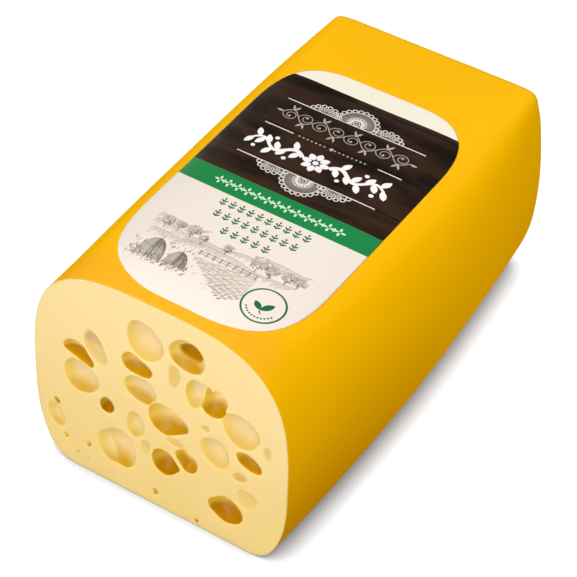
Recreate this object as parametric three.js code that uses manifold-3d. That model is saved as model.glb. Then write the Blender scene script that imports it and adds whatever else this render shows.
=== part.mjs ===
import * as THREE from 'three';
import { mergeVertices } from 'three/addons/utils/BufferGeometryUtils.js';
import Module from 'manifold-3d';

// Half a loaf of semi-hard cheese with round eyes, cut across its middle.
// It lies on its flat base in a close yellow film, with a label on its crown.
// Units are millimetres, +Z is up and the length runs along Y.
// The cut face looks towards -Y, and the origin is under the middle of the base.

// The loaf, measured over the film.
const LOAF_LENGTH = 187;
const BELLY_SWELL = 4.5; // how much wider each side is halfway along
const CROWN_SWELL = 0.45; // how much higher the crown is halfway along
const CRISPING = 2.56; // power by which the corners sharpen towards the far end
const SHOULDER_TAPER_POWER = 1.7;
const FOOT_TAPER = 0.17; // how far the side turns in between the waist and the base
const FOOT_TAPER_POWER = 2.6;
const FOOT_CORNER = 14; // exponent of the corner between the side and the base
const BASE_PRESS = 0.3; // how much of the rounded belly the table has pressed flat
const END_ROUNDING = 2.2; // radius of the edge round the far end
const CUT_DIP = 2.5; // how much lower the crown lies at the cut, where the knife pressed it
const CUT_DIP_REACH = 26; // how far back from the cut the dip runs out
const CUT_SQUARING = 0.35; // how much the dip adds to the shoulder corner's exponent

// The two ends: half width, crown height, height of the waist where the loaf is
// widest, exponent of the shoulder corner and how far the side leans in above the waist.
const CUT_END = { halfWidth: 52.4, crown: 100.9, waist: 36.6, corner: 2.95, lean: 0 };
const FAR_END = { halfWidth: 50.2, crown: 85.8, waist: 41.9, corner: 20, lean: 0.108 };

const FILM_WALL = 0.8;
const GAP = 0.3; // clearance between pieces that touch

// The label. Across is the way along the curved crown, from its highest line.
const LABEL_WALL = 0.5;
const LABEL_FRONT = 4.9; // distance of the label's front edge from the cut face
const LABEL_BACK = 149;
const LABEL_LEFT = { atFront: -38, atBack: -41 };
const LABEL_RIGHT = { atFront: 41.2, atBack: 39.7 };
const LABEL_CORNERS = {
  frontLeft: { across: 36, along: 47, exponent: 2.15 },
  frontRight: { across: 32, along: 42, exponent: 2.6 },
  backLeft: { across: 28, along: 32, exponent: 2.7 },
  backRight: { across: 28, along: 32, exponent: 2.9 },
};

// How finely the surfaces are divided.
const AROUND = 56;
const STATIONS = 14;
const STATION_CROWDING = 1.25; // power that crowds the stations towards the cut
const END_STEPS = 3;
const LABEL_ROWS = 24;
const LABEL_COLUMNS = 12;
const CROWN_SAMPLES = 240;

// The eyes that the knife has opened. Each was a gas bubble, nearly a ball, so its
// mouth and its depth give the ball. x and z place the mouth's middle on the cut
// face, from its centre line and the base; wide and high are the mouth's half axes,
// turn leans it anticlockwise in degrees, and from is the depth of the mouth itself
// where an eye opens inside another one.
const EYES = [
  { x: -32.5, z: 48.1, wide: 7.1, high: 8.1, deep: 4.0 },
  { x: -32.6, z: 59.7, wide: 7.4, high: 3.5, deep: 5.5, turn: -32 },
  { x: -25.7, z: 65.8, wide: 3.9, high: 7.8, deep: 2.2, turn: 28 },
  { x: -5.1, z: 80.0, wide: 7.7, high: 8.5, deep: 3.8, turn: 12 },
  { x: 11.9, z: 82.6, wide: 7.0, high: 7.4, deep: 4.6 },
  { x: 11.6, z: 81.0, wide: 4.6, high: 2.8, deep: 4.5, turn: -5, from: 4.0 },
  { x: 6.6, z: 70.3, wide: 2.7, high: 5.8, deep: 1.2 },
  { x: -8.8, z: 66.9, wide: 5.9, high: 5.1, deep: 5.5 },
  { x: -7.2, z: 56.2, wide: 7.0, high: 6.1, deep: 3.6 },
  { x: 15.4, z: 67.0, wide: 4.1, high: 7.2, deep: 3.0, turn: -8 },
  { x: 22.7, z: 66.8, wide: 5.2, high: 6.8, deep: 6.0, turn: -20 },
  { x: 33.4, z: 59.2, wide: 7.8, high: 7.6, deep: 3.4 },
  { x: 36.9, z: 46.1, wide: 5.3, high: 3.4, deep: 4.8, turn: -28 },
  { x: 33.6, z: 36.8, wide: 3.0, high: 2.2, deep: 1.2, turn: 20 },
  { x: 44.0, z: 55.0, wide: 1.8, high: 3.2, deep: 0.8 },
  { x: 3.9, z: 46.6, wide: 8.0, high: 7.2, deep: 5.5, turn: -12 },
  { x: 9.2, z: 38.0, wide: 4.0, high: 1.9, deep: 0.8 },
  { x: 19.5, z: 52.6, wide: 2.0, high: 1.6, deep: 0.7 },
  { x: 23.7, z: 42.7, wide: 5.6, high: 7.3, deep: 2.6, turn: 18 },
  { x: -9.6, z: 37.2, wide: 3.9, high: 5.8, deep: 2.2, turn: -5 },
  { x: -21.7, z: 39.8, wide: 2.85, high: 3.7, deep: 5.0, turn: -5 },
  { x: -16.6, z: 21.2, wide: 6.8, high: 9.5, deep: 4.6 },
  { x: -19.7, z: 19.8, wide: 6.9, high: 7.6, deep: 2.8 },
  { x: 3.0, z: 25.2, wide: 5.7, high: 6.2, deep: 6.5, turn: 15 },
  { x: 11.6, z: 31.1, wide: 4.9, high: 5.5, deep: 5.0, turn: -20 },
  { x: -5.5, z: 28.2, wide: 2.3, high: 4.0, deep: 0.9 },
  { x: 36.5, z: 27.0, wide: 3.9, high: 5.0, deep: 1.1 },
  { x: 27.5, z: 16.5, wide: 7.3, high: 6.7, deep: 6.5 },
  { x: -44.2, z: 22.6, wide: 3.6, high: 6.4, deep: 1.8, turn: 18 },
  { x: -43.7, z: 29.6, wide: 1.2, high: 1.7, deep: 2.0 },
  { x: -40.3, z: 13.6, wide: 0.8, high: 1.4, deep: 1.2 },
  { x: -30.4, z: 14.7, wide: 1.1, high: 1.6, deep: 1.2, turn: -20 },
  { x: -1.8, z: 7.2, wide: 1.1, high: 1.5, deep: 1.5 },
  { x: 15.8, z: 2.9, wide: 1.0, high: 1.1, deep: 1.2 },
];
const LARGE_EYE = 5; // mouths wider than this get the finer ball
const SMALL_EYE = 2; // mouths narrower than this get the coarse ball

const PASTE_COLOUR = 0xf4d98f;
const FILM_COLOUR = 0xf2b00d;
const LABEL_COLOUR = 0xfbefe1;

const wasm = await Module();
wasm.setup();

const mix = THREE.MathUtils.lerp;

// The sizes of the cross-section at a fraction of the length from the cut face.
function sectionSizes(fraction) {
  const swell = 4 * fraction * (1 - fraction);
  const crisp = fraction ** CRISPING;
  const dip = Math.max(1 - (fraction * LOAF_LENGTH) / CUT_DIP_REACH, 0) ** 2;
  return {
    halfWidth: mix(CUT_END.halfWidth, FAR_END.halfWidth, fraction) + BELLY_SWELL * swell,
    crown: mix(CUT_END.crown, FAR_END.crown, fraction) + CROWN_SWELL * swell - CUT_DIP * dip,
    waist: mix(CUT_END.waist, FAR_END.waist, fraction),
    corner: 1 / mix(1 / CUT_END.corner, 1 / FAR_END.corner, crisp) + CUT_SQUARING * dip,
    lean: mix(CUT_END.lean, FAR_END.lean, crisp),
  };
}

// A point of the outline: a rounded square stretched to the section's sizes,
// narrowed away from the waist and cut off flat at the base.
function outlinePoint(sizes, angle) {
  const across = Math.cos(angle);
  const up = Math.sin(angle);
  const above = up >= 0;
  const corner = above ? sizes.corner : FOOT_CORNER;
  const reach = (Math.abs(across) ** corner + Math.abs(up) ** corner) ** (1 / corner);
  const rise = Math.abs(up) / reach;
  const narrowing = above
    ? sizes.lean * rise ** SHOULDER_TAPER_POWER
    : FOOT_TAPER * rise ** FOOT_TAPER_POWER;
  const x = sizes.halfWidth * (across / reach) * (1 - narrowing);
  const z = above
    ? sizes.waist + (sizes.crown - sizes.waist) * rise
    : sizes.waist - (sizes.waist + BASE_PRESS) * rise;
  return new THREE.Vector2(x, Math.max(z, 0));
}

// The same point moved square to the outline, inwards for a positive inset.
function insetPoint(sizes, angle, inset) {
  const step = 0.002;
  const before = outlinePoint(sizes, angle - step);
  const after = outlinePoint(sizes, angle + step);
  const along = after.sub(before).normalize();
  const inwards = new THREE.Vector2(-along.y, along.x);
  return outlinePoint(sizes, angle).addScaledVector(inwards, inset);
}

// One closed ring of points, clockwise as seen from the cut face, at a distance y from it.
function ring(y, inset) {
  const sizes = sectionSizes(Math.min(y / LOAF_LENGTH, 1));
  return Array.from({ length: AROUND }, (_, i) => {
    const point = insetPoint(sizes, (-2 * Math.PI * i) / AROUND, inset);
    return new THREE.Vector3(point.x, y - LOAF_LENGTH / 2, point.y);
  });
}

// The rings of the whole outer form, from the cut face to the rounded far end.
function loafRings(inset) {
  const rings = [];
  const straight = LOAF_LENGTH - END_ROUNDING;
  for (let i = 0; i <= STATIONS; i += 1) {
    rings.push(ring(straight * (i / STATIONS) ** STATION_CROWDING, inset));
  }
  const radius = END_ROUNDING - inset;
  for (let i = 1; i <= END_STEPS; i += 1) {
    const turn = (Math.PI / 2) * (i / END_STEPS);
    const pulled = END_ROUNDING - radius * Math.cos(turn);
    rings.push(ring(straight + radius * Math.sin(turn), pulled));
  }
  return rings;
}

const reversed = (points) => [...points].reverse();

// Gathers the triangles of a surface, with their faces towards the outside.
class Skin {
  constructor() {
    this.corners = [];
  }

  triangle(a, b, c) {
    this.corners.push(a, b, c);
  }

  // A strip of triangles between two rows of equal length.
  strip(from, to, closed = true) {
    const count = from.length;
    for (let i = 0; i < (closed ? count : count - 1); i += 1) {
      const next = (i + 1) % count;
      this.triangle(from[i], from[next], to[next]);
      this.triangle(from[i], to[next], to[i]);
    }
  }

  strips(rows, closed = true) {
    for (let i = 1; i < rows.length; i += 1) {
      this.strip(rows[i - 1], rows[i], closed);
    }
  }

  // A fan that closes a ring round its middle.
  fan(points) {
    const middle = new THREE.Box3().setFromPoints(points).getCenter(new THREE.Vector3());
    points.forEach((point, i) => {
      this.triangle(point, points[(i + 1) % points.length], middle);
    });
  }

  // Another surface seen from its back, split into the same triangles.
  addInsideOut(other) {
    this.corners.push(...reversed(other.corners));
  }

  geometry() {
    const flat = new THREE.BufferGeometry().setFromPoints(this.corners);
    return mergeVertices(flat, 1e-5);
  }
}

// The loaf's surface at an inset, open at the cut and closed at the far end.
function loafSkin(rings) {
  const skin = new Skin();
  skin.strips(rings);
  skin.fan(rings.at(-1));
  return skin;
}

// The body of paste before its eyes are cut into it.
function pasteBlock() {
  const rings = loafRings(FILM_WALL + GAP);
  const skin = loafSkin(rings);
  skin.fan(reversed(rings[0]));
  return skin.geometry();
}

// A ball whose mouth on the cut face has the eye's size and whose floor its depth.
function eyeBall(eye) {
  const mouth = Math.sqrt(eye.wide * eye.high);
  const start = eye.from ?? 0;
  const radius = (mouth ** 2 + eye.deep ** 2) / (2 * eye.deep);
  let segments = 12;
  if (mouth > LARGE_EYE) segments = 16;
  if (mouth < SMALL_EYE) segments = 6;
  const ball = new THREE.SphereGeometry(radius, segments, Math.round(segments * 0.75));
  ball.rotateX(Math.PI / 2);
  ball.scale(eye.wide / mouth, 1, eye.high / mouth);
  ball.rotateY(-THREE.MathUtils.degToRad(eye.turn ?? 0));
  ball.translate(eye.x, start + eye.deep - radius - LOAF_LENGTH / 2, eye.z);
  return ball;
}

function toManifold(geometry) {
  const bare = geometry.clone();
  bare.deleteAttribute('normal');
  bare.deleteAttribute('uv');
  const merged = mergeVertices(bare, 1e-5);
  return new wasm.Manifold(new wasm.Mesh({
    numProp: 3,
    vertProperties: new Float32Array(merged.attributes.position.array),
    triVerts: new Uint32Array(merged.index.array),
  }));
}

function toGeometry(manifold) {
  const mesh = manifold.getMesh();
  const geometry = new THREE.BufferGeometry();
  geometry.setAttribute('position', new THREE.BufferAttribute(mesh.vertProperties, 3));
  geometry.setIndex(new THREE.BufferAttribute(mesh.triVerts, 1));
  return geometry;
}

function cheese() {
  let body = toManifold(pasteBlock());
  for (const eye of EYES) {
    body = body.subtract(toManifold(eyeBall(eye)));
  }
  return toGeometry(body);
}

// The film is a bag with a flat rim at the cut and a closed far end.
function wrap() {
  const outside = loafRings(0);
  const inside = loafRings(FILM_WALL);
  const skin = loafSkin(outside);
  skin.addInsideOut(loafSkin(inside));
  skin.strip(inside[0], outside[0]);
  return skin.geometry();
}

// Points on the crown at given lengths along its curve from the highest line.
function crownRow(y, lengths, lift) {
  const sizes = sectionSizes(y / LOAF_LENGTH);
  const angleAt = (i) => Math.PI * (1 - i / CROWN_SAMPLES);
  const reached = [0];
  let last = outlinePoint(sizes, angleAt(0));
  for (let i = 1; i <= CROWN_SAMPLES; i += 1) {
    const point = outlinePoint(sizes, angleAt(i));
    reached.push(reached[i - 1] + point.distanceTo(last));
    last = point;
  }
  const middle = reached[CROWN_SAMPLES / 2];
  return lengths.map((length) => {
    const after = reached.findIndex((value) => value >= middle + length);
    const share = (middle + length - reached[after - 1]) / (reached[after] - reached[after - 1]);
    const point = insetPoint(sizes, angleAt(after - 1 + share), -lift);
    return new THREE.Vector3(point.x, y - LOAF_LENGTH / 2, point.y);
  });
}

// How far a corner has drawn the side in, at a distance from the label's end.
function cornerDraw(corner, fromEnd) {
  const short = 1 - Math.min(fromEnd / corner.along, 1);
  return corner.across * (1 - (1 - short ** corner.exponent) ** (1 / corner.exponent));
}

// Where the label's left and right edges lie at a distance y from the cut face.
function labelEdges(y) {
  const fraction = (y - LABEL_FRONT) / (LABEL_BACK - LABEL_FRONT);
  const { frontLeft, frontRight, backLeft, backRight } = LABEL_CORNERS;
  const left = mix(LABEL_LEFT.atFront, LABEL_LEFT.atBack, fraction)
    + cornerDraw(frontLeft, y - LABEL_FRONT) + cornerDraw(backLeft, LABEL_BACK - y);
  const right = mix(LABEL_RIGHT.atFront, LABEL_RIGHT.atBack, fraction)
    - cornerDraw(frontRight, y - LABEL_FRONT) - cornerDraw(backRight, LABEL_BACK - y);
  return { left, right };
}

// The rows of the label's face, closer together near its rounded ends.
function labelRows(lift) {
  const middle = (LABEL_FRONT + LABEL_BACK) / 2;
  const half = (LABEL_BACK - LABEL_FRONT) / 2;
  return Array.from({ length: LABEL_ROWS + 1 }, (_, row) => {
    const y = middle - half * Math.cos((Math.PI * row) / LABEL_ROWS);
    const { left, right } = labelEdges(y);
    const lengths = Array.from(
      { length: LABEL_COLUMNS + 1 },
      (_unused, column) => mix(left, right, column / LABEL_COLUMNS),
    );
    return crownRow(y, lengths, lift);
  });
}

// The points round the edge of a face of rows, in one turn.
function edgeOf(rows) {
  const front = rows[0].slice(0, -1);
  const right = rows.slice(0, -1).map((row) => row.at(-1));
  const back = reversed(rows.at(-1)).slice(0, -1);
  const left = reversed(rows).slice(0, -1).map((row) => row[0]);
  return [...front, ...right, ...back, ...left];
}

function label() {
  const under = labelRows(GAP);
  const over = labelRows(GAP + LABEL_WALL);
  const skin = new Skin();
  skin.strips(over, false);
  const back = new Skin();
  back.strips(under, false);
  skin.addInsideOut(back);
  skin.strip(edgeOf(under), edgeOf(over));
  return skin.geometry();
}

function part(name, geometry, colour, roughness) {
  const material = new THREE.MeshStandardMaterial({ color: colour, roughness, metalness: 0 });
  const mesh = new THREE.Mesh(geometry, material);
  mesh.name = name;
  return mesh;
}

const group = new THREE.Group();
group.add(part('cheese', cheese(), PASTE_COLOUR, 0.45));
group.add(part('wrap', wrap(), FILM_COLOUR, 0.35));
group.add(part('label', label(), LABEL_COLOUR, 0.5));

export default group;
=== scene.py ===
# %% [markdown]
# # Half a loaf of semi-hard cheese
#
# A loaf of holed cheese has been cut across its middle. One half lies on its flat base: pale
# paste with round eyes at the cut, a close yellow film round the rest and a large printed label
# on the crown. Every size below is in millimetres, measured from the cut face, the centre line
# and the table. The last step before a mesh is made turns them into the frame's metres.

# %% Load the fixed frame
import math

import bpy
import numpy as np
from mathutils import Matrix, Vector


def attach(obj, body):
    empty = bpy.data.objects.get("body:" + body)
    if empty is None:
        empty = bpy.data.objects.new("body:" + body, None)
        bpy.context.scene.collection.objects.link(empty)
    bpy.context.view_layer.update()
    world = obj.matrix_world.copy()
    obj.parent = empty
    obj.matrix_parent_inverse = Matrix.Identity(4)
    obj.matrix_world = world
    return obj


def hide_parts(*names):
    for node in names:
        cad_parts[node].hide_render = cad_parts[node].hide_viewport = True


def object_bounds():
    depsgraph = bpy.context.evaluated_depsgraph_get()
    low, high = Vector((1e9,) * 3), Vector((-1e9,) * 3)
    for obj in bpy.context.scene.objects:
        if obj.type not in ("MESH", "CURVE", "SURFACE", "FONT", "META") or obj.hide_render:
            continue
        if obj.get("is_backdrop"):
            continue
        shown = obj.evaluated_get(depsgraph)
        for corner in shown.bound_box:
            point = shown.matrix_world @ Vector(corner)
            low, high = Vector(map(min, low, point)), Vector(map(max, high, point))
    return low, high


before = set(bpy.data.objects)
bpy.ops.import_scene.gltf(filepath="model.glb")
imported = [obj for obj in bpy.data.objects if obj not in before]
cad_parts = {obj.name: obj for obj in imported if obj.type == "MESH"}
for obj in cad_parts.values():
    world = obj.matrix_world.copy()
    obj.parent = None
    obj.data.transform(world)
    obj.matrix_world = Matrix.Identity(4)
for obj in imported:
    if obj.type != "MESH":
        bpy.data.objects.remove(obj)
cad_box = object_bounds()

LOAF_LENGTH = (cad_box[1].y - cad_box[0].y) * 1000
print("CAD box in mm:", [round(side * 1000, 1) for side in cad_box[1] - cad_box[0]])

# %% [markdown]
# ## From millimetres to a mesh
#
# All the pieces here are made the same way. Their points come from numpy as whole arrays of
# x, depth behind the cut face and height, and one function moves them into the frame and hands
# them to Blender. Keeping that in one place means that no piece can be put at a wrong scale.


# %% A mesh from arrays
def to_frame(points):
    """Moves points (x, depth behind the cut face, height) from mm into the frame's metres:
    the depth starts at the cut face, which is half the loaf's length in front of the origin."""
    return (points - np.array([0, LOAF_LENGTH / 2, 0])) / 1000


def make_piece(name, points, face_sets, node=None, smooth=True):
    """Makes a mesh object of points in mm and sets of faces, as a piece that rides on the loaf.
    Each set holds faces with one number of corners."""
    mesh = bpy.data.meshes.new(name)
    faces = [face for face_set in face_sets for face in face_set.tolist()]
    mesh.from_pydata(to_frame(points), [], faces)
    if smooth:
        mesh.shade_smooth()
    piece = bpy.data.objects.new(name, mesh)
    bpy.context.scene.collection.objects.link(piece)
    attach(piece, "root")
    if node:
        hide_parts(node)
    print(f"{name}: {len(points)} points, {len(faces)} faces")
    return piece


def grid_faces(rows, columns, closed=False):
    """The four-sided faces of a grid of points that is numbered row by row. A closed grid joins
    its last column to its first one."""
    number = np.arange(rows * columns).reshape(rows, columns)
    if closed:
        number = np.concatenate([number, number[:, :1]], axis=1)
    corners = [number[:-1, :-1], number[:-1, 1:], number[1:, 1:], number[1:, :-1]]
    return np.stack([corner.ravel() for corner in corners], axis=1)


def mix(low, high, share):
    """The value that lies the given share of the way from low to high."""
    return low + (high - low) * share


def unit(vectors):
    """The vectors at length 1. One without length stays as it is."""
    return vectors / np.maximum(np.linalg.norm(vectors, axis=-1, keepdims=True), 1e-9)


def thicken(piece, thickness_mm, offset):
    """Gives a sheet its wall. Offset -1 grows it inwards from the sheet and 1 outwards."""
    wall = piece.modifiers.new("wall", "SOLIDIFY")
    wall.thickness = thickness_mm / 1000
    wall.offset = offset


# %% [markdown]
# ## The camera
#
# The photo's camera was solved from straight lines on the object: the label's bands, its sides
# and the foot of the cut. It looks down at about 44 degrees, 30 degrees round to the right of the
# cut face, through a long lens, and it is tipped 2.5 degrees to one side.

# %% Camera at the photo's angle
CAMERA_AZIMUTH, CAMERA_ELEVATION, CAMERA_ROLL = 30.53, 43.65, 2.53
CAMERA_PLACE = (0.2875, -0.4974, 0.5812)
CAMERA_LENS = 133.1
CAMERA_SENSOR = 36


def turn_by(degrees, axis):
    """A turn about one axis."""
    return Matrix.Rotation(math.radians(degrees), 4, axis)


def set_up(name, data, place, rotation):
    """Puts a camera or a light at a place. Unturned, it looks straight down."""
    thing = bpy.data.objects.new(name, data)
    thing.matrix_world = Matrix.Translation(place) @ rotation
    bpy.context.scene.collection.objects.link(thing)
    return thing


lens = bpy.data.cameras.new("camera")
lens.lens, lens.sensor_width = CAMERA_LENS, CAMERA_SENSOR
aim = turn_by(CAMERA_AZIMUTH, "Z") @ turn_by(90 - CAMERA_ELEVATION, "X")
view = aim @ turn_by(CAMERA_ROLL, "Z")
bpy.context.scene.camera = set_up("camera", lens, CAMERA_PLACE, view)
print("camera:", CAMERA_LENS, "mm lens at", CAMERA_PLACE)

# %% [markdown]
# ## The loaf's cross-section
#
# The mould gives the loaf a rounded square section, flat below and domed above. A superellipse
# is that shape in one line: with power 2 it is an ellipse, and with a high power its corners
# become crisp. The power, the width and the height change along the length, because the cut end
# stands a little higher and rounder than the far end.

# %% Cross-section of the loaf
CUT_END = {"half_width": 52.4, "crown": 100.9, "waist": 36.6, "corner": 2.95, "lean": 0.0}
FAR_END = {"half_width": 50.2, "crown": 85.8, "waist": 41.9, "corner": 20.0, "lean": 0.108}
BELLY_SWELL = 4.5
CROWN_SWELL = 0.45
CRISPING = 2.56
SHOULDER_TAPER_POWER = 1.7
FOOT_TAPER = 0.17
FOOT_TAPER_POWER = 2.6
FOOT_CORNER = 14
BASE_PRESS = 0.3
CUT_DIP, CUT_DIP_REACH, CUT_SQUARING = 2.5, 26.0, 0.35


def section_sizes(depth):
    """The section's sizes at a depth behind the cut: each runs evenly from the cut end's to the
    far end's, with a swell halfway, while the corners sharpen late, as a power of the share.
    Close to the cut the crown dips and squares a little, by the square of the way left."""
    share = np.clip(depth / LOAF_LENGTH, 0, 1)
    swell = 4 * share * (1 - share)
    crisp = share**CRISPING
    dip = np.maximum(1 - np.maximum(depth, 0) / CUT_DIP_REACH, 0) ** 2
    return {
        "half_width": mix(CUT_END["half_width"], FAR_END["half_width"], share)
        + BELLY_SWELL * swell,
        "crown": mix(CUT_END["crown"], FAR_END["crown"], share)
        + CROWN_SWELL * swell
        - CUT_DIP * dip,
        "waist": mix(CUT_END["waist"], FAR_END["waist"], share),
        "corner": 1 / mix(1 / CUT_END["corner"], 1 / FAR_END["corner"], crisp)
        + CUT_SQUARING * dip,
        "lean": mix(CUT_END["lean"], FAR_END["lean"], crisp),
    }


def narrowing(rise, above, lean):
    """How much of the half width is lost at a rise from the waist: above it the side leans in
    by a power of the rise, and below it the foot turns in."""
    return np.where(
        above, lean * rise**SHOULDER_TAPER_POWER, FOOT_TAPER * rise**FOOT_TAPER_POWER
    )


def section_point(angle, depth):
    """The outline's x and height at an angle round the waist's middle, at a depth behind the
    cut: a point of the rounded square, stretched to the section's sizes and narrowed. The base
    is pressed flat on the table."""
    sizes = section_sizes(depth)
    across, up = np.cos(angle), np.sin(angle)
    above = up >= 0
    corner = np.where(above, sizes["corner"], FOOT_CORNER)
    reach = (np.abs(across) ** corner + np.abs(up) ** corner) ** (1 / corner)
    rise = np.abs(up) / reach
    x = sizes["half_width"] * across / reach * (1 - narrowing(rise, above, sizes["lean"]))
    upper = sizes["waist"] + (sizes["crown"] - sizes["waist"]) * rise
    lower = sizes["waist"] - (sizes["waist"] + BASE_PRESS) * rise
    return x, np.maximum(np.where(above, upper, lower), 0)


angles = np.linspace(0, 2 * np.pi, 721)
for depth in (0, LOAF_LENGTH / 2, LOAF_LENGTH):
    x, z = section_point(angles, np.full_like(angles, depth))
    print(f"section at {depth:5.1f} mm: {np.ptp(x):.1f} wide, {z.max():.1f} high")

# %% [markdown]
# ## The paste, as a field
#
# Eyes are gas bubbles. The knife has opened some at their middle, as bowls, and others near
# their edge, as small mouths with a wide cave behind, and several open into one another. A mesh
# cut by forty balls would need forty boolean cuts, with a sharp edge at each. Here the whole
# paste is one field instead: a number at every point of a grid that is negative inside the paste
# and grows with the distance from its surface. The loaf less all its eyes is then a plain
# maximum of fields, and a softened maximum gives every rim the slight rounding of cut cheese.

# %% The eyes of the cut face
# Each row is the mouth's middle (x, height), its half width and half height, the bubble's depth,
# how far the mouth leans anticlockwise in degrees, the depth at which the mouth lies, and how much
# painted shade its wall gets: 0 for a pale bowl, 1 for a dark, deep gold cave and below 0 for one
# tinted grey.
EYES = (
    (-32.5, 47.9, 7.1, 8.0, 4.0, 0, 0.0, 0.29),
    (-32.8, 58.9, 6.9, 5.5, 5.2, -20, 0.0, 0.6),
    (-25.7, 65.8, 4.1, 7.9, 1.4, 28, 0.0, -0.35),
    (-26.6, 68.2, 3.2, 3.3, 1.8, -20, 0.5, -0.9),
    (-5.1, 80.0, 7.7, 8.5, 3.8, 12, 0.0, 0.14),
    (11.9, 82.6, 7.0, 7.4, 4.6, 0, 0.0, 0.42),
    (11.6, 81.6, 4.7, 2.6, 4.4, -5, 4.0, 0.7),
    (6.6, 70.3, 2.7, 5.8, 1.2, 0, 0.0, 0.12),
    (-8.6, 67.0, 6.1, 5.3, 5.2, -8, 0.0, 0.55),
    (-7.2, 55.9, 7.0, 5.9, 3.6, 0, 0.0, 0.34),
    (15.3, 67.0, 4.0, 7.2, 3.0, -8, 0.0, 0.2),
    (22.2, 65.7, 4.9, 5.9, 6.5, -12, 0.0, 0.58),
    (24.7, 69.3, 3.3, 4.0, 4.0, 0, 0.0, 0.42),
    (19.2, 70.3, 2.9, 3.5, 3.0, 0, 0.0, 0.35),
    (33.4, 59.3, 7.7, 7.5, 3.4, 0, 0.0, 0.2),
    (36.9, 46.1, 5.3, 3.5, 4.8, -28, 0.0, 0.7),
    (33.4, 36.7, 3.0, 2.1, 1.2, 20, 0.0, 0.3),
    (44.0, 55.0, 1.8, 3.2, 0.8, 0, 0.0, 0.1),
    (3.9, 46.7, 8.2, 7.5, 6.0, -12, 0.0, 0.5),
    (7.0, 38.0, 4.4, 1.9, 0.8, 0, 0.0, 0.25),
    (19.5, 52.6, 2.0, 1.6, 0.7, 0, 0.0, 0.2),
    (23.4, 42.9, 5.6, 7.4, 2.6, 18, 0.0, 0.18),
    (-9.7, 37.0, 4.0, 6.1, 2.2, -5, 0.0, 0.25),
    (-21.7, 39.7, 2.75, 3.6, 5.5, -5, 0.0, 1.0),
    (-16.6, 21.2, 6.8, 9.5, 4.6, 0, 0.0, 0.38),
    (-19.7, 19.8, 6.9, 7.6, 2.8, 0, 0.0, 0.34),
    (2.9, 25.1, 5.8, 6.3, 7.0, 8, 0.0, 0.95),
    (11.4, 31.2, 4.9, 5.3, 5.0, -10, 0.0, 0.65),
    (-5.5, 28.2, 2.3, 4.0, 0.9, 0, 0.0, 0.18),
    (36.5, 27.0, 3.9, 5.2, 1.1, 0, 0.0, 0.15),
    (27.6, 16.7, 7.3, 6.6, 7.0, 0, 0.0, 0.95),
    (-44.2, 22.2, 3.5, 6.2, 1.8, 18, 0.0, 0.3),
    (-43.7, 29.4, 1.2, 1.7, 2.0, 0, 0.0, 0.7),
    (-40.3, 13.4, 0.8, 1.4, 1.2, 0, 0.0, 0.7),
    (-39.6, 11.1, 0.6, 0.7, 0.7, 0, 0.0, 0.7),
    (-30.4, 14.5, 1.1, 1.6, 1.2, -20, 0.0, 0.4),
    (-35.4, 7.5, 0.6, 0.8, 0.7, 0, 0.0, 0.4),
    (-31.0, 6.8, 0.5, 0.7, 0.6, 0, 0.0, 0.4),
    (-1.8, 7.0, 1.1, 1.5, 1.5, 0, 0.0, 0.4),
    (3.0, 3.6, 0.9, 0.8, 0.5, 0, 0.0, 0.2),
    (15.8, 2.7, 1.0, 1.1, 1.2, 0, 0.0, 0.4),
)
# Straight sides, where a bubble lay against a firm fold of curd: the middle of the eye's mouth,
# the direction that the side faces in degrees, and its distance from that middle.
STRAIGHT_SIDES = (
    ((-32.8, 58.9), -110, 2.6),
    ((-32.8, 58.9), 33, 4.3),
    ((-8.6, 67.0), -90, 4.6),
    ((-8.6, 67.0), 63, 3.9),
    ((3.9, 46.7), -55, 5.8),
    ((2.9, 25.1), 37, 4.9),
    ((2.9, 25.1), -42, 5.1),
    ((11.4, 31.2), -146, 3.5),
    ((27.6, 16.7), 131, 5.5),
    ((27.6, 16.7), -122, 6.3),
)
print(len(EYES), "eyes,", len(STRAIGHT_SIDES), "straight sides")

# %% The grid that the field is worked out on
FACE_STEP = 0.5
GRID_HALF, GRID_FOOT, GRID_TOP = 57.0, -1.0, 102.0
RIM_STEP, RIM_REACH = 0.3, 1.5
CAVE_STEP, EYE_REACH = 0.6, 12.0
BODY_STEP = 16.0
PASTE_BACK = LOAF_LENGTH - 1.4
BEFORE_BACK, BEHIND_BACK = 1.0, 1.5


def even_ticks(start, end, step):
    """Ticks from start to end, both counted."""
    return np.arange(start, end + 0.01, step)


depth_ticks = np.concatenate([
    np.arange(-2.5 * RIM_STEP, RIM_REACH, RIM_STEP),
    np.arange(RIM_REACH + RIM_STEP, EYE_REACH, CAVE_STEP),
    np.linspace(EYE_REACH, PASTE_BACK - BEFORE_BACK, round(LOAF_LENGTH / BODY_STEP)),
    [PASTE_BACK, PASTE_BACK + BEHIND_BACK],
])
ticks = (
    even_ticks(-GRID_HALF, GRID_HALF, FACE_STEP),
    depth_ticks,
    even_ticks(GRID_FOOT, GRID_TOP, FACE_STEP),
)
print("grid:", [len(axis) for axis in ticks])


# %% Fields of the loaf and of one eye
SIDE_ROUNDING = 1.2
LUMPINESS = 0.03
HIGHEST_RISE = 1.1


def soft_max(a, b, width):
    """The greater of two fields, with the crease between them rounded over the given width: where
    they differ by less than the width, a parabola is added that joins them smoothly."""
    overlap = np.maximum(width - np.abs(a - b), 0) / width
    return np.maximum(a, b) + overlap**2 * width / 4


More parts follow.
